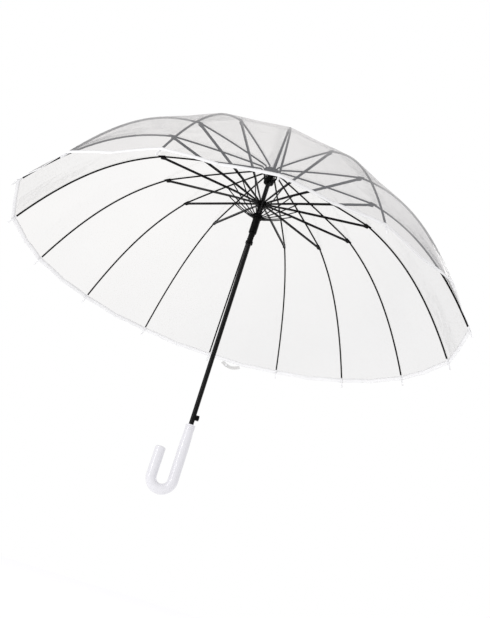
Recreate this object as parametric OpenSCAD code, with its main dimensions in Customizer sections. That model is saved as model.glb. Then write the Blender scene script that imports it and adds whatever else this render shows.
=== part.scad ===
// Stick umbrella with sixteen ribs, a clear film canopy and a J-shaped handle. Millimetres, +Z up the shaft.
// The origin is on the shaft's axis, where the shaft enters the collar of the handle.

/* [Canopy] */
// Radius of the open canopy at the ends of the tip caps
canopy_r = 500; // [460:5:540]
// Height of the tips of the caps above the origin
rim_z = 290; // [270:5:310]
// Angle of the first rib from the plane of the hook
first_rib = 3; // [0:0.5:22]
// Thickness of the film
film_t = 0.6; // [0.4:0.1:1.2]
// Share of a rib's fall that is straight, outside its bracket
fall_straight = 0.48; // [0.3:0.02:0.6]
// Power of the rest of a rib's fall
fall_power = 2.44; // [2:0.02:3]
// Distance between the ends of the tie strap
strap_len = 50; // [40:1:56]
// Width of the tie strap
strap_w = 8; // [6:0.5:9]
// How far the middle of the tie strap sags
strap_sag = 9; // [6:0.5:10]

/* [Linkage] */
// Radius of the circle of pivots, at the notch and at the runner
pivot_r = 10; // [9:0.5:11]
// Height of the rib pivots at the notch
notch_z = 588; // [580:1:596]
// Height of the stretcher pivots at the runner when open
runner_z = 530; // [526:1:534]
// Radius of the pivot between a rib and its stretcher
bracket_r = 247; // [240:1:250]
// How far a bracket's pivot hangs under its rib's centreline
bracket_drop = 4; // [4:0.25:6]
// Width and height of a rib
rib_w = 2.6; // [2:0.2:2.8]
// Width of a stretcher past its taper
stretcher_w = 4; // [3.4:0.1:4.2]
// Height of a stretcher's channel
stretcher_h = 4; // [3:0.25:4]

/* [Shaft and runners] */
// Outer radius of the shaft
shaft_r = 5; // [4.8:0.1:5.2]
// Wall of the shaft
shaft_wall = 1; // [0.6:0.1:1]
// Gap between the shaft and what slides on it
slide_gap = 0.3; // [0.2:0.05:0.4]
// Bottom of the runner's end ring when open
runner_end_z = 424; // [424:1:430]
// Height of the strut holes in the lower runner when open
collar_z = 494; // [490:1:496]
// Bottom of the lower runner when open
lower_end_z = 452; // [448:1:456]

/* [Handle] */
// Radius of the grip
grip_r = 10.5; // [9.5:0.25:11]
// Radius of the grip just under the collar
grip_top_r = 9.2; // [8.5:0.1:10]
// Depth of the centre of the bend under the origin
bend_z = 115; // [100:1:130]
// Radius of the bend's centreline
bend_r = 21.7; // [20:0.1:26]
// Depth of the hook's end face under the origin
hook_end_z = 58; // [50:1:80]
// Height of the middle of the opening button
button_z = 17; // [16:0.5:18]

/* [Hidden] */
$fn = 64;
RIBS = 16;
STEP = 360 / RIBS;
HALF = STEP / 2;
skin = 0.05;

bracket_z = (notch_z + runner_z) / 2;
rib_at_bracket = bracket_z + bracket_drop;
link_rise = atan2(bracket_z - runner_z, bracket_r - pivot_r);
link_len = norm([bracket_r - pivot_r, bracket_z - runner_z]);

// Eyes, forks and the wires that run through them
eye_r = 2;
blade_w = 1.8;
slot_w = 2.4;
slot_r = 7.7;
hub_r = 11.4;
wire_r = 0.5;
wire_hole_r = 0.65;
eye_hole_r = 0.9;
pin_r = 0.8;
pin_hole_r = 1;
lug_w = 1.6;
cheek_in = 1;
cheek_out = 2.1;
fork_r = 2.2;

// Crown
elbow_r = 26;
elbow_z = notch_z + 29;
crown_r = 20;
washer_z = notch_z + 28.2;
washer_t = 1.4;
shaft_top = notch_z + 28;
ferrule_foot = notch_z - 6;
ferrule_z = notch_z + 34.9;
ferrule_len = 30;
tip_r = 4;

// Tip caps
cap_r = 2;
cap_len = 25;
cap_bore_r = 1.1;
stub_r = 1;
stub_len = 8;
rod_end_r = canopy_r - 11.5;
film_gap = 0.8;
hem_r = canopy_r - 6;
panel_gap = 0.25;
seam_gap = 0.1;

// Runner, lower runner and the spring between them
runner_r = 7;
spring_seat_r = 6.2;
lower_bore_r = 8;
lower_r = 8.8;
collar_r = 11;
collar_h = 9;
hub_lo = runner_z - 7;
hub_hi = runner_z + 4;
spring_wire = 0.7;
spring_r = 7.1;
spring_turns = 11;
spring_lo = lower_end_z + 3.8;
spring_hi = hub_lo - 0.8;
catch_w = 7.2;
catch_h = 22;

// Spring struts, from the lower runner's collar to each stretcher
strut_r = 0.7;
strut_along = 75;
strut_in = [9.6, collar_z];
strut_out = [pivot_r + strut_along * cos(link_rise) + 0.9 * sin(link_rise),
             runner_z + strut_along * sin(link_rise) - 0.9 * cos(link_rise)];
strut_rise = atan2(strut_out[1] - strut_in[1], strut_out[0] - strut_in[0]);

// Handle
collar_len = 10;
lip_r = 9.6;
groove = 0.5;
socket_depth = 40;
button_w = 6;
button_h = 10;
button_in = 1;
button_out = 12.2;

// Strap
strap_t = 1;
strap_seam_gap = 4;

// Height of a rib's centreline at radius r, outside and inside its bracket
function fall(s) = 1 - fall_straight * s - (1 - fall_straight) * pow(s, fall_power);
function outer_z(r) = rim_z + (rib_at_bracket - rim_z) * fall((r - bracket_r) / (canopy_r - bracket_r));
function inner_share(r) = (r - elbow_r) / (bracket_r - elbow_r);
function inner_bow(s) = 0.82 * s + 0.18 * s * s;
function inner_z(r) = elbow_z + (rib_at_bracket - elbow_z) * inner_bow(inner_share(r));

GOOSENECK = [[pivot_r, notch_z], [12.2, notch_z + 6], [15.5, notch_z + 17], [20, notch_z + 25],
             [elbow_r, elbow_z]];
INNER = [for (k = [1:6]) let (r = elbow_r + (bracket_r - elbow_r) * k / 6) [r, inner_z(r)]];
OUTER = [for (k = [1:14]) let (r = bracket_r + (rod_end_r - bracket_r) * k / 14) [r, outer_z(r)]];
ROD = concat([[elbow_r, elbow_z]], INNER, OUTER);
HEM = [for (r = [hem_r - 4, hem_r]) [r, outer_z(r)]];
COVERED = concat(INNER, [for (k = [0:12]) OUTER[k]], HEM);

function unit(v) = v / norm(v);
function along(line, i) = unit(line[min(i + 1, len(line) - 1)] - line[max(i - 1, 0)]);
function beside(line, i, d) = line[i] + d * [-along(line, i)[1], along(line, i)[0]];
function offset_line(line, d) = [for (i = [0:len(line) - 1]) beside(line, i, d)];
function backwards(line) = [for (i = [len(line) - 1:-1:0]) line[i]];
function strip(line, w) = concat(offset_line(line, -w / 2), backwards(offset_line(line, w / 2)));

FILM_LOW = concat([[7, notch_z + 33], [18, notch_z + 32.5], [elbow_r + 4, elbow_z + 2]],
                  offset_line(COVERED, rib_w / 2 + film_gap));

// Puts what follows at the place of rib i
module at_rib(i) {
    rotate([0, 0, first_rib + STEP * (i - 1)]) children();
}

// Extrudes an outline of radius and height to width w across the radial plane
module across(w) {
    rotate([90, 0, 0]) linear_extrude(w, center = true) children();
}

// A round eye or hole whose axis runs across the radial plane
module eye(r, z, radius, w) {
    translate([r, 0, z]) rotate([90, 0, 0]) cylinder(r = radius, h = w, center = true, $fn = 32);
}

// A ring of wire, or the groove it lies in, on the circle of pivots
module pivot_ring(z, radius) {
    translate([0, 0, z]) rotate_extrude() translate([pivot_r, 0]) circle(r = radius, $fn = 24);
}

// Round section along the end of a rib, from the rod's end to the tip
module along_tip() {
    dir = unit([canopy_r, rim_z] - ROD[len(ROD) - 1]);
    translate([ROD[len(ROD) - 1][0], 0, ROD[len(ROD) - 1][1]])
        rotate([0, atan2(dir[0], dir[1]), 0]) children();
}

// Black rod with its gooseneck, pivot eye, the bracket with its pin, and the stub in the tip cap
module rib(i) {
    color("black") at_rib(i) difference() {
        union() {
            across(blade_w) polygon(strip(GOOSENECK, 2.4));
            eye(pivot_r, notch_z, eye_r, blade_w);
            across(rib_w) polygon(strip(ROD, rib_w));
            across(lug_w) translate([bracket_r - fork_r, bracket_z]) square([2 * fork_r, bracket_drop]);
            eye(bracket_r, bracket_z, fork_r, lug_w);
            eye(bracket_r, bracket_z, pin_r, 2 * cheek_out + 0.2);
            along_tip() cylinder(r = stub_r, h = stub_len, $fn = 32);
        }
        eye(pivot_r, notch_z, eye_hole_r, blade_w + 1);
    }
}

// Black channel that props a rib, flat with an eye at the runner and forked at the rib
module stretcher(i) {
    half = stretcher_w / 2;
    color("black") at_rib(i) translate([pivot_r, 0, runner_z]) rotate([0, -link_rise, 0]) difference() {
        union() {
            eye(0, 0, eye_r, blade_w);
            across(blade_w) polygon([[0, -1.4], [0, 1.4], [6, 1.8], [6, -1.2]]);
            intersection() {
                across(10) polygon([[5, -1.3], [5, 1.8], [60, stretcher_h], [link_len - 8, stretcher_h],
                    [link_len - 8, 0], [60, 0]]);
                translate([0, 0, -5]) linear_extrude(20) polygon([
                    [5, -1.5], [60, -1.65], [100, -half], [link_len - 8, -half],
                    [link_len - 8, half], [100, half], [60, 1.65], [5, 1.5]]);
            }
            for (side = [-1, 1]) translate([0, side * (cheek_in + cheek_out) / 2, 0]) {
                across(cheek_out - cheek_in) polygon([[link_len - 9, 0], [link_len - 9, stretcher_h],
                    [link_len - 8, stretcher_h], [link_len, fork_r], [link_len, -fork_r]]);
                eye(link_len, 0, fork_r, cheek_out - cheek_in);
            }
        }
        eye(0, 0, eye_hole_r, blade_w + 1);
        eye(link_len, 0, pin_hole_r, 2 * cheek_out + 1);
        translate([70, -half + 0.7, -1]) cube([link_len - 82, stretcher_w - 1.4, stretcher_h - 0.1]);
    }
}

// Film over one rib in two halves, from the middle of one gore to the middle of the next, and its tip cap
module canopy_panel(i) {
    high = offset_line(FILM_LOW, film_t);
    n = len(FILM_LOW);
    color("white", 0.4) at_rib(i) {
        for (side = [-1, 1]) {
            points = [for (k = [0:n - 1]) each [
                film_point(FILM_LOW[k], side, 0), film_point(FILM_LOW[k], side, 1),
                film_point(high[k], side, 1), film_point(high[k], side, 0)]];
            polyhedron(points, loft_faces(n, 4, side < 0), convexity = 4);
        }
        difference() {
            along_tip() translate([0, 0, 0.3]) union() {
                cylinder(r = cap_r, h = cap_len - 4, $fn = 32);
                translate([0, 0, cap_len - 4]) cylinder(r1 = cap_r, r2 = 1.4, h = 3.7, $fn = 32);
            }
            along_tip() translate([0, 0, -1]) cylinder(r = cap_bore_r, h = stub_len + 2, $fn = 32);
        }
    }
}

// A point of the film beside its rib, share 0, or on the chord halfway to the next rib, share 1
function film_point(p, side, share) =
    let (y = share == 0 ? seam_gap : max(p[0] * sin(HALF) * cos(HALF) - panel_gap, seam_gap + 0.4))
    [p[0] - y * tan(HALF), side * y, p[1]];

// Triangles that close a row of rings into one solid
function loft_faces(rings, sides, flip) = let (
    walls = [for (k = [0:rings - 2]) for (s = [0:sides - 1])
        let (a = k * sides + s, b = k * sides + (s + 1) % sides) each
        [[a, b, a + sides], [b, b + sides, a + sides]]],
    ends = [[for (s = [sides - 1:-1:0]) s], [for (s = [0:sides - 1]) (rings - 1) * sides + s]])
    [for (f = concat(walls, ends)) flip ? f : [for (k = [len(f) - 1:-1:0]) f[k]]];

// Black steel tube with a window for the button
module shaft_tube() {
    color("black") difference() {
        translate([0, 0, -socket_depth + 1]) cylinder(r = shaft_r, h = shaft_top + socket_depth - 1);
        translate([0, 0, -socket_depth]) cylinder(r = shaft_r - shaft_wall, h = shaft_top + socket_depth + 1);
        translate([0, -button_w / 2 - 0.2, button_z - button_h / 2 - 0.2])
            cube([shaft_r + 1, button_w + 0.4, button_h + 0.4]);
    }
}

// White J: straight grip, half-turn bend and straight end, with a socket for the shaft
module handle() {
    top = -collar_len - skin;
    color("white") difference() {
        union() {
            translate([0, 0, -40]) cylinder(r1 = grip_r, r2 = grip_top_r, h = 40 + top);
            translate([0, 0, -bend_z]) cylinder(r = grip_r, h = bend_z - 40);
            translate([-bend_r, 0, -bend_z]) rotate([90, 0, 0]) rotate([0, 0, 180])
                rotate_extrude(angle = 180) translate([bend_r, 0]) circle(r = grip_r);
            translate([-2 * bend_r, 0, -bend_z]) cylinder(r = grip_r, h = bend_z - hook_end_z - 2);
            translate([-2 * bend_r, 0, -hook_end_z - 2]) cylinder(r1 = grip_r, r2 = grip_r - 2, h = 2);
        }
        translate([0, 0, -socket_depth]) cylinder(r = shaft_r + skin, h = socket_depth + 1);
    }
}

// White collar at the top of the handle, with two fine grooves
module handle_collar() {
    color("white") difference() {
        translate([0, 0, -collar_len]) cylinder(r = lip_r, h = collar_len);
        translate([0, 0, -collar_len - 1]) cylinder(r = shaft_r + skin, h = collar_len + 2);
        for (z = [-3, -7]) translate([0, 0, z - 0.4]) difference() {
            cylinder(r = lip_r + 1, h = 0.8);
            translate([0, 0, -1]) cylinder(r = lip_r - groove, h = 3);
        }
    }
}

// Black push button that stands out of the shaft above the handle
module open_button() {
    color("black") intersection() {
        translate([button_in, -button_w / 2, button_z - button_h / 2])
            cube([button_out - button_in, button_w, button_h]);
        translate([-6, 0, button_z]) rotate([90, 0, 0]) cylinder(r = button_out + 6, h = 20, center = true);
    }
}

// Slots for sixteen blades, open outwards
module slots(lo, hi) {
    for (i = [1:RIBS]) at_rib(i) translate([slot_r, -slot_w / 2, lo - 1]) cube([20, slot_w, hi - lo + 2]);
}

// Black slotted drum at the top of the shaft, with the wire that threads the rib eyes
module top_notch() {
    lo = notch_z - 3;
    hi = notch_z + 7;
    color("black") {
        difference() {
            union() {
                translate([0, 0, lo]) cylinder(r = hub_r, h = hi - lo);
                translate([0, 0, hi]) cylinder(r = slot_r, h = washer_z - hi - skin);
            }
            translate([0, 0, lo - 1]) cylinder(r = shaft_r + skin, h = washer_z - lo + 2);
            slots(lo, hi);
            pivot_ring(notch_z, wire_hole_r);
        }
        pivot_ring(notch_z, wire_r);
    }
}

// Dark disc under the crown of the film
module crown_washer() {
    color("dimgray") difference() {
        translate([0, 0, washer_z]) cylinder(r = crown_r, h = washer_t);
        translate([0, 0, washer_z - 1]) cylinder(r = shaft_r - shaft_wall, h = washer_t + 2);
    }
}

// White point above the film, with a stem that plugs the shaft
module ferrule() {
    color("white") {
        translate([0, 0, ferrule_foot])
            cylinder(r = shaft_r - shaft_wall - skin, h = ferrule_z - ferrule_foot);
        translate([0, 0, ferrule_z]) cylinder(r = 11, h = 2);
        translate([0, 0, ferrule_z + 2]) cylinder(r1 = 7, r2 = tip_r + 1, h = 3);
        translate([0, 0, ferrule_z + 5]) cylinder(r = tip_r, h = ferrule_len - 6);
        translate([0, 0, ferrule_z + ferrule_len - 1]) cylinder(r1 = tip_r, r2 = tip_r - 1, h = 1);
    }
}

// Black runner: slotted drum, the seat of the spring, and a tube that ends in a ring and a catch slot
module runner() {
    color("black") {
        difference() {
            union() {
                translate([0, 0, hub_lo]) cylinder(r = hub_r, h = hub_hi - hub_lo);
                translate([0, 0, lower_end_z - 1]) cylinder(r = spring_seat_r, h = hub_lo - lower_end_z + 2);
                translate([0, 0, runner_end_z]) cylinder(r = runner_r, h = lower_end_z - runner_end_z - 0.3);
                translate([0, 0, runner_end_z]) cylinder(r = runner_r + 1.5, h = 5);
            }
            translate([0, 0, runner_end_z - 1])
                cylinder(r = shaft_r + slide_gap, h = hub_hi - runner_end_z + 2);
            translate([0, 0, 3]) slots(hub_lo, hub_hi);
            pivot_ring(runner_z, wire_hole_r);
            translate([0, -catch_w / 2, runner_end_z - 1]) cube([20, catch_w, catch_h + 1]);
        }
        pivot_ring(runner_z, wire_r);
    }
}

// Black lower runner: a cup round the spring, with a collar that holds the struts
module lower_runner() {
    color("black") difference() {
        union() {
            translate([0, 0, lower_end_z]) cylinder(r = lower_r, h = collar_z - lower_end_z);
            translate([0, 0, collar_z - collar_h / 2]) cylinder(r = collar_r, h = collar_h);
        }
        translate([0, 0, lower_end_z - 1]) cylinder(r = spring_seat_r + slide_gap, h = 80);
        translate([0, 0, lower_end_z + 3]) cylinder(r = lower_bore_r, h = 80);
        for (i = [1:RIBS]) at_rib(i) translate([strut_in[0] - 0.3, 0, strut_in[1] - 0.2])
            rotate([0, 90 - strut_rise, 0]) cylinder(r = strut_r + 0.2, h = 20, $fn = 24);
    }
}

// Steel coil between the lower runner's floor and the runner's drum
module main_spring() {
    per_turn = 20;
    sides = 8;
    n = spring_turns * per_turn;
    rise = (spring_hi - spring_lo) / n;
    points = [for (k = [0:n]) let (a = 360 * k / per_turn) for (s = [0:sides - 1])
        let (r = spring_r + spring_wire * cos(360 * s / sides))
        [r * cos(a), r * sin(a), spring_lo + rise * k + spring_wire * sin(360 * s / sides)]];
    color("silver") polyhedron(points, loft_faces(n + 1, sides, true), convexity = 10);
}

// Sixteen spring wires from the lower runner's collar to the stretchers
module spring_struts() {
    for (i = [1:RIBS]) color("dimgray") at_rib(i) translate([strut_in[0], 0, strut_in[1]])
        rotate([0, 90 - strut_rise, 0]) cylinder(r = strut_r, h = norm(strut_out - strut_in), $fn = 24);
}

// Clear strap with a snap that sags under the hem, from the seam beside rib 5 towards that rib
module tie_strap() {
    edge = FILM_LOW[len(FILM_LOW) - 1];
    half = strap_len / 2;
    end_drop = strap_w / 2 * cos(atan(2 * strap_sag / half));
    line = [for (k = [0:16]) let (t = k / 8 - 1) [half * t, -end_drop - strap_sag * (1 - t * t)]];
    snap = line[12];
    color("white") rotate([0, 0, first_rib + STEP * 3.5])
        translate([edge[0] * cos(HALF) - strap_t - skin, half + strap_seam_gap, edge[1]]) rotate([90, 0, 90]) {
            linear_extrude(strap_t) polygon(strip(line, strap_w));
            translate([snap[0], snap[1], -1.5]) cylinder(r = strap_w / 2 - 0.5, h = 4, $fn = 48);
        }
}

rib(1);  // rib_01
rib(2);  // rib_02
rib(3);  // rib_03
rib(4);  // rib_04
rib(5);  // rib_05
rib(6);  // rib_06
rib(7);  // rib_07
rib(8);  // rib_08
rib(9);  // rib_09
rib(10);  // rib_10
rib(11);  // rib_11
rib(12);  // rib_12
rib(13);  // rib_13
rib(14);  // rib_14
rib(15);  // rib_15
rib(16);  // rib_16
stretcher(1);  // stretcher_01
stretcher(2);  // stretcher_02
stretcher(3);  // stretcher_03
stretcher(4);  // stretcher_04
stretcher(5);  // stretcher_05
stretcher(6);  // stretcher_06
stretcher(7);  // stretcher_07
stretcher(8);  // stretcher_08
stretcher(9);  // stretcher_09
stretcher(10);  // stretcher_10
stretcher(11);  // stretcher_11
stretcher(12);  // stretcher_12
stretcher(13);  // stretcher_13
stretcher(14);  // stretcher_14
stretcher(15);  // stretcher_15
stretcher(16);  // stretcher_16
canopy_panel(1);  // canopy_panel_01
canopy_panel(2);  // canopy_panel_02
canopy_panel(3);  // canopy_panel_03
canopy_panel(4);  // canopy_panel_04
canopy_panel(5);  // canopy_panel_05
canopy_panel(6);  // canopy_panel_06
canopy_panel(7);  // canopy_panel_07
canopy_panel(8);  // canopy_panel_08
canopy_panel(9);  // canopy_panel_09
canopy_panel(10);  // canopy_panel_10
canopy_panel(11);  // canopy_panel_11
canopy_panel(12);  // canopy_panel_12
canopy_panel(13);  // canopy_panel_13
canopy_panel(14);  // canopy_panel_14
canopy_panel(15);  // canopy_panel_15
canopy_panel(16);  // canopy_panel_16
shaft_tube();
handle();
handle_collar();
open_button();
top_notch();
crown_washer();
ferrule();
runner();
lower_runner();
main_spring();
spring_struts();
tie_strap();
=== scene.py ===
"""Clear stick umbrella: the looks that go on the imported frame.

Metres, +Z up the shaft, origin at the collar.
"""

import math

import bpy
from mathutils import Matrix, Vector


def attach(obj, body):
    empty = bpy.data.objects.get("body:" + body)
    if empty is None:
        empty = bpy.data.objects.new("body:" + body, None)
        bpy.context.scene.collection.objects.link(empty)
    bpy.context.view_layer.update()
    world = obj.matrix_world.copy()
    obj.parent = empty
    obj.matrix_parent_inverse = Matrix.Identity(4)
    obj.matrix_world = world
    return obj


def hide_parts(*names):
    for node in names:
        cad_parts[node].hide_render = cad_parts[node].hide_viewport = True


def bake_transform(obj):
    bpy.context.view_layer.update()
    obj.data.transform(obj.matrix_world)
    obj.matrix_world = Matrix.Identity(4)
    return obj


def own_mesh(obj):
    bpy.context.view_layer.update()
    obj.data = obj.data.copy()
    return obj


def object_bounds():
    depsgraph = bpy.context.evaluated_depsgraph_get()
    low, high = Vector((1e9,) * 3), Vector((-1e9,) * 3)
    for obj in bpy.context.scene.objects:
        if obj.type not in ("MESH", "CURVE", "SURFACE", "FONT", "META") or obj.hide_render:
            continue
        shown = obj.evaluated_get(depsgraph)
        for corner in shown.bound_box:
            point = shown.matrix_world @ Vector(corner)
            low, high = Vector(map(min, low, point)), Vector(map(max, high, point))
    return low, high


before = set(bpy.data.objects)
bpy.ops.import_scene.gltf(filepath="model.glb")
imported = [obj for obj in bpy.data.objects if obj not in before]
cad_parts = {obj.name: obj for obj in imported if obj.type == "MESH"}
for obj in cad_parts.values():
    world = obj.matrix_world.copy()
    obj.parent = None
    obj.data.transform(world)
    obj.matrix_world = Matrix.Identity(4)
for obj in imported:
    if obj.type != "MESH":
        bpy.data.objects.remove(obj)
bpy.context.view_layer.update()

RIBS = 16
FIRST = math.radians(3)
STEP = math.tau / RIBS
HALF = STEP / 2

# Canopy and linkage
CANOPY_R = 0.5
RIM_Z = 0.29
NOTCH_Z = 0.588
RUNNER_Z = 0.530
PIVOT_R = 0.010
BRACKET_R = 0.247
BRACKET_Z = (NOTCH_Z + RUNNER_Z) / 2
RIB_AT_BRACKET = BRACKET_Z + 0.004
ELBOW_R = 0.026
ELBOW_Z = NOTCH_Z + 0.029

# A rib's curve: outside the bracket, the share of its fall that is straight and the power of the rest;
# inside, the share of its rise that bows
FALL_STRAIGHT = 0.48
FALL_POWER = 2.44
INNER_BOW = 0.18

# Rib rods, strut wires and main coil
ROD_R = 0.0019
ROD_END_R = CANOPY_R - 0.0115
STRUT_R = 0.0013
COLLAR_R = 0.0098
COLLAR_Z = 0.494
STRUT_REACH = 0.075
COIL_R = 0.0071
COIL_WIRE_R = 0.00070
COIL_LOW = 0.4562
COIL_HIGH = 0.5218
COIL_TURNS = 11

# Film and hem
FILM_LIFT = 0.0021
CROWN_HOLE_R = 0.007
CROWN_Z = NOTCH_Z + 0.0332
HEM_R = CANOPY_R - 0.0058
HEM_WIDTH = 0.0046
SAG = 0.0050

# Strap
STRAP_LEN = 0.050
STRAP_WIDTH = 0.010
STRAP_SAG = 0.009
STRAP_SEAM_GAP = 0.004

# Radius where the film's crown part ends and its outer part begins
CROWN_END = 0.060

# Camera: directions across and up the picture, then its place from the rim's centre, in canopy radii
CAMERA_RIGHT = (0.9553, -0.1045, 0.2767)
CAMERA_UP = (-0.2958, -0.3514, 0.8883)
CAMERA_BACK_BY = 3.1803
CAMERA_RIGHT_BY = 0.0567
CAMERA_UP_BY = -0.0503
LENS_MM = 43.2
SENSOR_MM = 36

# Lights: name, place, width and height, power
LIGHTS = [
    ("key", (-1.6, -1.5, 0.75), (0.3, 1.8), 13),
    ("rim", (1.8, 1.2, 1.6), (1.2, 1.2), 6),
]
LIGHTS_AIM = (0, 0, 0.3)
FLOOR_BELOW = 0.30
FLOOR_HALF = 6


def outer_z(r):
    s = (r - BRACKET_R) / (CANOPY_R - BRACKET_R)
    fall = 1 - FALL_STRAIGHT * s - (1 - FALL_STRAIGHT) * s**FALL_POWER
    return RIM_Z + (RIB_AT_BRACKET - RIM_Z) * fall


def inner_z(r):
    s = (r - ELBOW_R) / (BRACKET_R - ELBOW_R)
    return ELBOW_Z + (RIB_AT_BRACKET - ELBOW_Z) * ((1 - INNER_BOW) * s + INNER_BOW * s * s)


def rib_z(r):
    return outer_z(r) if r > BRACKET_R else inner_z(r)


def slope(f, r, d=0.0005):
    return (f(r + d) - f(r - d)) / (2 * d)


def film_line(r):
    """Radius and height of the film's surface where it crosses a rib, at radius r of the rib."""
    landing = ELBOW_R + 0.004  # where the film comes down on the ribs from the crown's hole
    if r < landing:
        t = (r - CROWN_HOLE_R) / (landing - CROWN_HOLE_R)
        rise = rib_z(landing) + FILM_LIFT - CROWN_Z
        return r, CROWN_Z + rise * t * t * (1.6 - 0.6 * t)
    m = slope(rib_z, r)
    n = math.hypot(1, m)
    return r - FILM_LIFT * m / n, rib_z(r) + FILM_LIFT / n


def around(i):
    """Turns the first rib's plane to rib i."""
    return Matrix.Rotation(FIRST + STEP * (i - 1), 4, "Z")


def film_point(r, tau):
    """Point of the film, tau from -1 to 1 across the first rib, on the chords between ribs."""
    x, z = film_line(r)
    # The film sags between ribs outside half of the canopy's radius, and most at the rim
    droop = SAG * tau * tau * max(0.0, r / CANOPY_R - 0.5) * 2
    inset = abs(tau) * math.sin(HALF) ** 2
    return Vector((x * (1 - inset), tau * x * math.sin(HALF) * math.cos(HALF), z - droop))


# --- Materials -------------------------------------------------------------------------------------------


def material(name, base, rough, specular=0.5, coat=0.0, coat_rough=0.05):
    """A principled material, its node tree and its shader."""
    m = bpy.data.materials.new(name)
    m.use_nodes = True
    shader = m.node_tree.nodes["Principled BSDF"]
    shader.inputs["Base Color"].default_value = (*base, 1)
    shader.inputs["Roughness"].default_value = rough
    shader.inputs["Specular IOR Level"].default_value = specular
    shader.inputs["Coat Weight"].default_value = coat
    shader.inputs["Coat Roughness"].default_value = coat_rough
    return m, m.node_tree, shader


def link(tree, a, out, b, into):
    tree.links.new(a.outputs[out], b.inputs[into])


def noise(tree, scale, detail=3.0, rough=0.5):
    coord = tree.nodes.new("ShaderNodeTexCoord")
    tex = tree.nodes.new("ShaderNodeTexNoise")
    tex.inputs["Scale"].default_value = scale
    tex.inputs["Detail"].default_value = detail
    tex.inputs["Roughness"].default_value = rough
    link(tree, coord, "Object", tex, "Vector")
    return tex


def ramp(tree, tex, stops):
    node = tree.nodes.new("ShaderNodeValToRGB")
    while len(node.color_ramp.elements) < len(stops):
        node.color_ramp.elements.new(0.5)
    for element, (pos, color) in zip(node.color_ramp.elements, stops):
        element.position = pos
        element.color = (*color, 1)
    link(tree, tex, "Fac", node, "Fac")
    return node


def bump(tree, tex, shader, strength, distance):
    node = tree.nodes.new("ShaderNodeBump")
    node.inputs["Strength"].default_value = strength
    node.inputs["Distance"].default_value = distance
    link(tree, tex, "Fac", node, "Height")
    link(tree, node, "Normal", shader, "Normal")


def map_range(tree, source, out, to_min, to_max, from_min=0.0, from_max=1.0):
    node = tree.nodes.new("ShaderNodeMapRange")
    node.inputs["From Min"].default_value = from_min
    node.inputs["From Max"].default_value = from_max
    node.inputs["To Min"].default_value = to_min
    node.inputs["To Max"].default_value = to_max
    link(tree, source, out, node, "Value")
    return node


def varied(name, low, high, scale, rough, bump_by, rough_spread=0.06, **more):
    """Colour and roughness that drift a little over the surface, with a fine bump of (strength, distance)."""
    m, tree, shader = material(name, high, rough, **more)
    tex = noise(tree, scale)
    color = ramp(tree, tex, [(0.3, low), (0.7, high)])
    link(tree, color, "Color", shader, "Base Color")
    span = map_range(tree, tex, "Fac", max(0.02, rough - rough_spread), rough + rough_spread)
    link(tree, span, "Result", shader, "Roughness")
    fine = noise(tree, scale * 6, 4)
    bump(tree, fine, shader, *bump_by)
    return m


def math_node(tree, operation, source, out, value):
    """One Math node with its second input fixed."""
    node = tree.nodes.new("ShaderNodeMath")
    node.operation = operation
    node.inputs[1].default_value = value
    link(tree, source, out, node, 0)
    return node


def mix_shaders(tree, share, out, first, first_out, second, second_out="BSDF"):
    node = tree.nodes.new("ShaderNodeMixShader")
    link(tree, share, out, node, "Fac")
    link(tree, first, first_out, node, 1)
    link(tree, second, second_out, node, 2)
    return node


def film_material():
    """Clear film: mostly transparent, a thin grey milkiness, and a gloss that grows at grazing angles."""
    m = bpy.data.materials.new("clear_film")
    m.use_nodes = True
    tree = m.node_tree
    tree.nodes.clear()
    clear = tree.nodes.new("ShaderNodeBsdfTransparent")
    clear.inputs["Color"].default_value = (0.985, 0.975, 0.965, 1)
    milk = tree.nodes.new("ShaderNodeBsdfDiffuse")
    milk.inputs["Color"].default_value = (0.415, 0.435, 0.475, 1)
    gloss = tree.nodes.new("ShaderNodeBsdfGlossy")
    gloss.inputs["Color"].default_value = (0.95, 0.94, 0.93, 1)
    gloss.inputs["Roughness"].default_value = 0.12
    bump(tree, noise(tree, 9, 3, 0.55), gloss, 0.35, 0.012)

    # The milkiness grows down the canopy and towards +X as painted shade that darkens the film there, with
    # haze in patches
    coord = tree.nodes.new("ShaderNodeTexCoord")
    drift = tree.nodes.new("ShaderNodeVectorMath")
    drift.operation = "DOT_PRODUCT"
    drift.inputs[1].default_value = (0.55, 0.0, -0.8)
    link(tree, coord, "Object", drift, 0)
    # Painted shade: more grey milk, so a darker film, towards +X and lower down
    base = map_range(tree, drift, "Value", 0.07, 0.20, -0.58, -0.17)
    patchy = math_node(tree, "MULTIPLY_ADD", noise(tree, 5, 4, 0.6), "Fac", 0.085)
    link(tree, base, "Result", patchy, 2)
    amount = math_node(tree, "SUBTRACT", patchy, "Value", 0.043)
    body = mix_shaders(tree, amount, "Value", clear, "BSDF", milk)

    # The gloss grows towards grazing angles
    edge = tree.nodes.new("ShaderNodeLayerWeight")
    edge.inputs["Blend"].default_value = 0.5
    grazing = math_node(tree, "POWER", edge, "Facing", 4.0)
    shine = map_range(tree, grazing, "Value", 0.03, 0.75)
    surface = mix_shaders(tree, shine, "Result", body, "Shader", gloss)
    out = tree.nodes.new("ShaderNodeOutputMaterial")
    link(tree, surface, "Shader", out, "Surface")
    return m


def milky_material(name, color, alpha, rough):
    """Translucent white plastic of the tip caps, the ferrule and the snap."""
    m, tree, shader = material(name, color, rough, coat=0.4)
    shader.inputs["Alpha"].default_value = alpha
    shader.inputs["Subsurface Weight"].default_value = 0.3
    shader.inputs["Subsurface Radius"].default_value = (0.004, 0.004, 0.004)
    tex = noise(tree, 180)
    shade = ramp(tree, tex, [(0.3, tuple(c * 0.95 for c in color)), (0.7, color)])
    link(tree, shade, "Color", shader, "Base Color")
    bump(tree, tex, shader, 0.1, 0.0003)
    return m


def grey(level):
    return (level, level, level)


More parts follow.
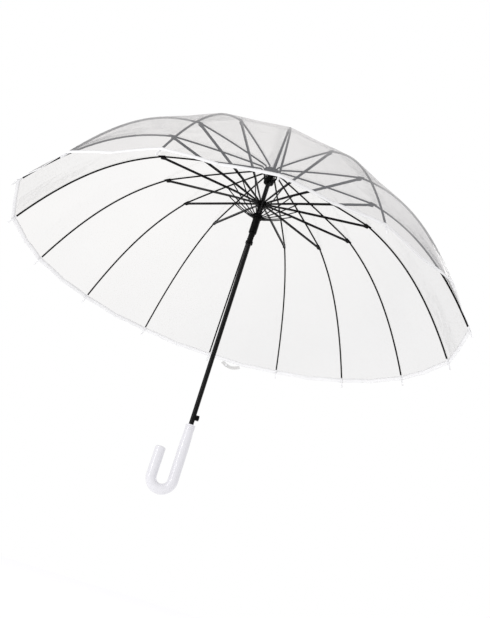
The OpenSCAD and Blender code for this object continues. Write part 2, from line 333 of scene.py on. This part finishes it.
BLACK_ROD = varied("black_rod", grey(0.002), grey(0.005), 60, 0.34, (0.05, 0.0002), specular=0.05)
BLACK_PAINT = varied("black_paint", grey(0.001), grey(0.004), 45, 0.10, (0.02, 0.0002), 0.02, specular=0.15)
BLACK_PLASTIC = varied("black_plastic", grey(0.001), grey(0.005), 90, 0.34, (0.10, 0.0002), specular=0.06)
DARK_WIRE = varied("dark_wire", (0.002, 0.002, 0.003), (0.006, 0.006, 0.007), 120, 0.30, (0.05, 0.0001),
                   specular=0.10)
WHITE_PLASTIC = varied("white_plastic", (0.745, 0.74, 0.77), (0.765, 0.76, 0.79), 12, 0.22, (0.01, 0.0003),
                       0.02, coat=0.5)
FILM = film_material()
HEM_WHITE = varied("hem_white", (0.88, 0.88, 0.885), (0.92, 0.92, 0.925), 40, 0.45, (0.04, 0.0003),
                   specular=0.3)
# The white strap is painted a darker grey: painted shade
STRAP_SHADED_GREY = varied("strap_painted_shade", (0.70, 0.70, 0.69), (0.75, 0.75, 0.74), 60, 0.40, (0.04, 0.0003),
                    specular=0.3)
CAP_WHITE = milky_material("cap_white", (0.92, 0.92, 0.93), 0.90, 0.30)


# --- Mesh helpers ----------------------------------------------------------------------------------------


X_AXIS = Vector((1, 0, 0))
Y_AXIS = Vector((0, 1, 0))
Z_AXIS = Vector((0, 0, 1))


def mesh_object(name, verts, faces, mat, smooth=True):
    mesh = bpy.data.meshes.new(name)
    mesh.from_pydata([tuple(v) for v in verts], [], faces)
    mesh.validate()
    mesh.update()
    for poly in mesh.polygons:
        poly.use_smooth = smooth
    mesh.materials.append(mat)
    obj = bpy.data.objects.new(name, mesh)
    bpy.context.collection.objects.link(obj)
    return obj


def grid_faces(rows, cols, close=False):
    """Quads of a grid of vertices, row by row; close joins the last column to the first."""
    faces = []
    for a in range(rows - 1):
        for b in range(cols if close else cols - 1):
            c = (b + 1) % cols
            low, high = a * cols, (a + 1) * cols
            faces.append((low + b, low + c, high + c, high + b))
    return faces


class Builder:
    """Collects tubes, pins and boxes into one mesh."""

    def __init__(self):
        self.verts = []
        self.faces = []

    def add(self, verts, faces):
        base = len(self.verts)
        self.verts += verts
        self.faces += [tuple(base + k for k in f) for f in faces]

    def tube(self, points, radii, sides=10, side_axis=Y_AXIS):
        """A tube along points, with one radius or one for each point."""
        rings = []
        for k, p in enumerate(points):
            a = points[max(k - 1, 0)]
            b = points[min(k + 1, len(points) - 1)]
            t = (b - a).normalized()
            u = (side_axis - side_axis.dot(t) * t).normalized()
            v = t.cross(u)
            r = radii[k] if hasattr(radii, "__len__") else radii
            for s in range(sides):
                ang = math.tau * s / sides
                rings.append(p + r * (math.cos(ang) * u + math.sin(ang) * v))
        n = len(points)
        faces = grid_faces(n, sides, close=True)
        faces.append(tuple(range(sides - 1, -1, -1)))
        faces.append(tuple((n - 1) * sides + s for s in range(sides)))
        self.add(rings, faces)

    def rounded_box(self, centre, size, turn=0.0, corner=0.3):
        """A box with chamfered edges across the rib's plane, turned about +Y."""
        hx, hy, hz = (v / 2 for v in size)
        c = corner * min(hx, hy, hz)
        profile = [(hx, hz - c), (hx - c, hz), (-hx + c, hz), (-hx, hz - c),
                   (-hx, -hz + c), (-hx + c, -hz), (hx - c, -hz), (hx, -hz + c)]
        end = 1 - c / min(hx, hz)
        levels = [(-hy, end), (-hy + c, 1.0), (hy - c, 1.0), (hy, end)]
        rotation = Matrix.Rotation(turn, 3, "Y")
        verts = [centre + rotation @ Vector((x * k, y, z * k)) for y, k in levels for x, z in profile]
        n = len(profile)
        faces = grid_faces(len(levels), n, close=True)
        faces.append(tuple(range(n - 1, -1, -1)))
        faces.append(tuple((len(levels) - 1) * n + s for s in range(n)))
        self.add(verts, faces)

    def pin(self, centre, axis, side, ends, sides):
        """A short round pin along axis, from (distance, radius) pairs."""
        self.tube([centre + axis * d for d, _ in ends], [r for _, r in ends], sides, side)

    def make(self, name, mat):
        return mesh_object(name, self.verts, self.faces, mat)


def two(i):
    return f"{i:02d}"


def blend_fold(obj):
    """Bakes the piece's place into its mesh."""
    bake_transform(obj)


def soft_shade(obj, angle=40):
    """Smooth shading that keeps edges sharper than the angle."""
    obj.data.set_sharp_from_angle(angle=math.radians(angle))


# --- Camera ----------------------------------------------------------------------------------------------


def set_camera():
    """Below and in front of the umbrella, looking up, rolled so that the shaft leans to the right."""
    right = Vector(CAMERA_RIGHT).normalized()
    up = Vector(CAMERA_UP).normalized()
    back = right.cross(up).normalized()
    up = back.cross(right)
    shift = CAMERA_BACK_BY * back + CAMERA_RIGHT_BY * right + CAMERA_UP_BY * up
    place = Vector((0, 0, RIM_Z)) + CANOPY_R * shift
    camera = bpy.data.cameras.new("camera")
    camera.lens = LENS_MM
    camera.sensor_width = SENSOR_MM
    camera.clip_start = 0.05
    camera.clip_end = 50
    obj = bpy.data.objects.new("camera", camera)
    bpy.context.collection.objects.link(obj)
    rot = Matrix((right, up, back)).transposed()
    obj.matrix_world = Matrix.Translation(place) @ rot.to_4x4()
    bpy.context.scene.camera = obj


# --- Ribs ------------------------------------------------------------------------------------------------


def rib_path():
    """Centreline of the rod: gooseneck at the notch, inner part to the bracket, outer part to the tip."""
    gooseneck = [(PIVOT_R, 0), (0.0122, 0.006), (0.0155, 0.017), (0.0200, 0.025)]
    pts = [(r, NOTCH_Z + rise) for r, rise in gooseneck] + [(ELBOW_R, ELBOW_Z)]
    for start, end, height, steps in ((ELBOW_R, BRACKET_R, inner_z, 12), (BRACKET_R, ROD_END_R, outer_z, 24)):
        radii = [start + (end - start) * k / steps for k in range(1, steps + 1)]
        pts += [(r, height(r)) for r in radii]
    return [Vector((r, 0, z)) for r, z in pts]


def make_rib(i):
    """Rod with its eye at the notch, and its crimped bracket with a lug and a rivet."""
    b = Builder()
    path = rib_path()
    neck = [0.0010] * 3 + [0.0012]
    b.tube(path, neck + [ROD_R] * (len(path) - len(neck)))
    notch_eye = [(-0.0009, 0.0015), (-0.0006, 0.002), (0.0006, 0.002), (0.0009, 0.0015)]
    b.pin(Vector((PIVOT_R, 0, NOTCH_Z)), Y_AXIS, X_AXIS, notch_eye, 16)
    tilt = math.atan2(-slope(rib_z, BRACKET_R + 0.002), 1) * 0.75
    b.rounded_box(Vector((BRACKET_R + 0.001, 0, RIB_AT_BRACKET - 0.0002)), (0.016, 0.0042, 0.0042), tilt)
    b.rounded_box(Vector((BRACKET_R, 0, BRACKET_Z + 0.0012)), (0.0042, 0.0016, 0.0060))
    rivet = [(-0.0030, 0.0010), (-0.0026, 0.0015), (0.0026, 0.0015), (0.0030, 0.0010)]
    b.pin(Vector((BRACKET_R, 0, BRACKET_Z)), Y_AXIS, X_AXIS, rivet, 14)
    rib = b.make(f"rib_rod_{two(i)}", BLACK_ROD)
    rib.data.transform(around(i))
    soft_shade(rib)
    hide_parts(f"rib_{two(i)}")
    blend_fold(rib)


def tip_frame():
    """The rod's end and the direction from there to the tip."""
    end = Vector((ROD_END_R, 0, outer_z(ROD_END_R)))
    return end, (Vector((CANOPY_R, 0, RIM_Z)) - end).normalized()


def make_cap(i):
    """Slim cap with a shoulder and a ball at its end."""
    b = Builder()
    end, d = tip_frame()
    shape = [(-0.0005, 0.0012), (0.0, 0.0018), (0.0012, 0.0020), (0.006, 0.0020), (0.0068, 0.0017),
             (0.016, 0.0016), (0.0205, 0.0015), (0.0222, 0.0018), (0.0238, 0.0018), (0.0250, 0.0010)]
    b.pin(end, d, Y_AXIS, shape, 12)
    cap = b.make(f"tip_cap_{two(i)}", CAP_WHITE)
    cap.data.transform(around(i))
    soft_shade(cap, 60)
    blend_fold(cap)


# --- Film ------------------------------------------------------------------------------------------------


def film_strip(name, i, start, end, steps):
    """Film over rib i between two radii."""
    radii = [start + (end - start) * k / steps for k in range(steps + 1)]
    taus = [k / 4 for k in range(-4, 5)]
    verts = [around(i) @ film_point(r, tau) for r in radii for tau in taus]
    length = sum((film_point(b, 0) - film_point(a, 0)).length for a, b in zip(radii, radii[1:]))
    return mesh_object(name, verts, grid_faces(len(radii), len(taus)), FILM), length


def make_film(i):
    """Film over one rib: the crown part bends from the stick to the rib, the rest follows the rib."""
    crown, _ = film_strip(f"film_crown_{two(i)}", i, CROWN_HOLE_R, CROWN_END, 8)
    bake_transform(crown)
    outer, length = film_strip(f"film_{two(i)}", i, CROWN_END, HEM_R - 0.8 * HEM_WIDTH, 40)
    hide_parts(f"canopy_panel_{two(i)}")
    blend_fold(outer)


def make_hem(i):
    """White band folded over the film's edge."""
    half_t = 0.0006
    section = [(-HEM_WIDTH, 0.0004), (-0.5 * HEM_WIDTH, half_t), (-half_t, half_t), (0.0, 0.0),
               (-half_t, -half_t), (-0.5 * HEM_WIDTH, -half_t), (-HEM_WIDTH, -0.0004)]
    taus = [k / 6 for k in range(-6, 7)]
    verts = []
    for tau in taus:
        for back, lift in section:
            r = HEM_R + back
            m = slope(rib_z, r)
            n = math.hypot(1, m)
            verts.append(film_point(r, tau) + Vector((-m / n, 0, 1 / n)) * lift)
    hem = mesh_object(f"hem_{two(i)}", verts, grid_faces(len(taus), len(section), close=True), HEM_WHITE)
    hem.data.transform(around(i))
    blend_fold(hem)


# --- Struts, spring, strap -------------------------------------------------------------------------------


def make_struts():
    """Spring wires from the lower runner's collar to the stretchers.

    Each lies along its stretcher when folded.
    """
    rise = math.atan2(BRACKET_Z - RUNNER_Z, BRACKET_R - PIVOT_R)
    along = Vector((math.cos(rise), 0, math.sin(rise)))
    up = Vector((-math.sin(rise), 0, math.cos(rise)))
    pivot = Vector((PIVOT_R, 0, RUNNER_Z))
    collar = Vector((COLLAR_R, 0, COLLAR_Z))
    end = pivot + along * STRUT_REACH + up * 0.0014
    hook = end + up * 0.0016 + along * 0.0006
    bow = Vector((0.5, 0, -0.86)) * 0.0022
    steps = 14
    for i in range(1, RIBS + 1):
        b = Builder()
        shares = [k / steps for k in range(steps + 1)]
        b.tube([collar.lerp(end, t) + bow * math.sin(math.pi * t) for t in shares] + [hook], STRUT_R, 8)
        strut = b.make(f"spring_strut_{two(i)}", DARK_WIRE)
        turn = around(i)
        strut.data.transform(turn)
        if i == 1:
            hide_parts("spring_struts")
        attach(strut, f"stretcher_arm_{two(i)}")
        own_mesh(strut)


def make_spring():
    """Main coil between the lower runner and the hub."""
    per_turn = 26
    n = COIL_TURNS * per_turn
    pts = []
    for k in range(n + 1):
        ang = math.tau * k / per_turn
        z = COIL_LOW + (COIL_HIGH - COIL_LOW) * k / n
        pts.append(Vector((COIL_R * math.cos(ang), COIL_R * math.sin(ang), z)))
    b = Builder()
    b.tube(pts, COIL_WIRE_R, 8, Z_AXIS)
    spring = b.make("main_coil", DARK_WIRE)
    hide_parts("main_spring")
    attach(spring, "upper_runner")
    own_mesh(spring)


# Turns the first rib's plane to the seam between ribs 4 and 5
STRAP_TURN = Matrix.Rotation(FIRST + STEP * 3.5, 3, "Z")


def strap_point(t, across=0.0):
    """Point of the strap, t from -1 beside the seam to 1, across from -1 at its lower edge to 1."""
    half = STRAP_LEN / 2
    slant = math.atan2(2 * STRAP_SAG * t, half)
    edge = film_line(HEM_R)[0]
    y = STRAP_SEAM_GAP + half * (1 + t)
    end_drop = STRAP_WIDTH / 2 * math.cos(math.atan2(2 * STRAP_SAG, half))
    z = film_point(HEM_R, 1 - y / (edge * math.sin(HALF))).z - end_drop - STRAP_SAG * (1 - t * t)
    x = edge * math.cos(HALF) - 0.0015 + 0.001 * across
    reach = STRAP_WIDTH / 2 * across
    point = Vector((x, y - reach * math.sin(slant), z + reach * math.cos(slant)))
    return STRAP_TURN @ point


def make_strap():
    """Short strap with a snap, sagging under the hem from the seam beside rib 5."""
    rows, cols = 25, 5
    lengthwise = [2 * a / (rows - 1) - 1 for a in range(rows)]
    verts = [strap_point(t, 2 * c / (cols - 1) - 1) for t in lengthwise for c in range(cols)]
    strap = mesh_object("strap", verts, grid_faces(rows, cols), STRAP_SHADED_GREY)
    length = sum((strap_point(b) - strap_point(a)).length for a, b in zip(lengthwise, lengthwise[1:]))
    b = Builder()
    disc = [(-0.0018, 0.0026), (-0.0014, 0.0034), (0.0014, 0.0034), (0.0018, 0.0026)]
    b.pin(strap_point(0.5), STRAP_TURN @ X_AXIS, STRAP_TURN @ Y_AXIS, disc, 24)
    snap = b.make("strap_snap", CAP_WHITE)
    soft_shade(snap, 50)
    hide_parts("tie_strap")
    for piece in (strap, snap):
        blend_fold(piece)


# --- CAD nodes that keep their shape ---------------------------------------------------------------------


def dress(node, mat):
    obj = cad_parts[node]
    obj.data.materials.clear()
    obj.data.materials.append(mat)
    for slot in obj.material_slots:
        slot.material = mat


def dress_cad():
    for i in range(1, RIBS + 1):
        dress(f"stretcher_{two(i)}", BLACK_PAINT)
    dress("shaft_tube", BLACK_PAINT)
    for node in ("top_notch", "crown_washer", "runner", "lower_runner", "open_button"):
        dress(node, BLACK_PLASTIC)
    dress("ferrule", CAP_WHITE)
    for node in ("handle", "handle_collar"):
        dress(node, WHITE_PLASTIC)


# --- Stage -----------------------------------------------------------------------------------------------


def make_floor():
    """Pale floor well below the handle."""
    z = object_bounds()[0][2] - FLOOR_BELOW
    pale, _, shader = material("floor_white", (0.93, 0.93, 0.93), 0.7, specular=0.0)
    shader.inputs["Emission Color"].default_value = (1, 1, 1, 1)
    shader.inputs["Emission Strength"].default_value = 0.22
    h = FLOOR_HALF
    corners = [(-h, -h, z), (h, -h, z), (h, h, z), (-h, h, z)]
    mesh_object("floor", corners, [(0, 1, 2, 3)], pale, smooth=False)


def make_world():
    """Even white surround: pure white behind the object, a little less on it."""
    world = bpy.data.worlds.new("studio")
    bpy.context.scene.world = world
    world.use_nodes = True
    tree = world.node_tree
    seen = tree.nodes["Background"]
    seen.inputs["Color"].default_value = (1, 1, 1, 1)
    around_it = tree.nodes.new("ShaderNodeBackground")
    around_it.inputs["Color"].default_value = (0.96, 0.955, 0.97, 1)
    around_it.inputs["Strength"].default_value = 0.86
    path = tree.nodes.new("ShaderNodeLightPath")
    mix = mix_shaders(tree, path, "Is Camera Ray", around_it, "Background", seen, "Background")
    link(tree, mix, "Shader", tree.nodes["World Output"], "Surface")


def make_lights():
    """Two soft lights: a tall strip in front on the left, and a weaker square one behind on the right."""
    for name, place, size, power in LIGHTS:
        light = bpy.data.lights.new(name, "AREA")
        light.energy = power
        light.shape = "RECTANGLE"
        light.size, light.size_y = size
        obj = bpy.data.objects.new(name, light)
        obj.location = place
        aim = Vector(LIGHTS_AIM) - Vector(place)
        obj.rotation_euler = aim.to_track_quat("-Z", "Y").to_euler()
        bpy.context.collection.objects.link(obj)


set_camera()
for rib in range(1, RIBS + 1):
    make_rib(rib)
    make_cap(rib)
    make_film(rib)
    make_hem(rib)
make_struts()
make_spring()
make_strap()
dress_cad()
make_floor()
make_world()
make_lights()
bpy.context.scene.view_settings.view_transform = "Standard"

bpy.context.view_layer.update()
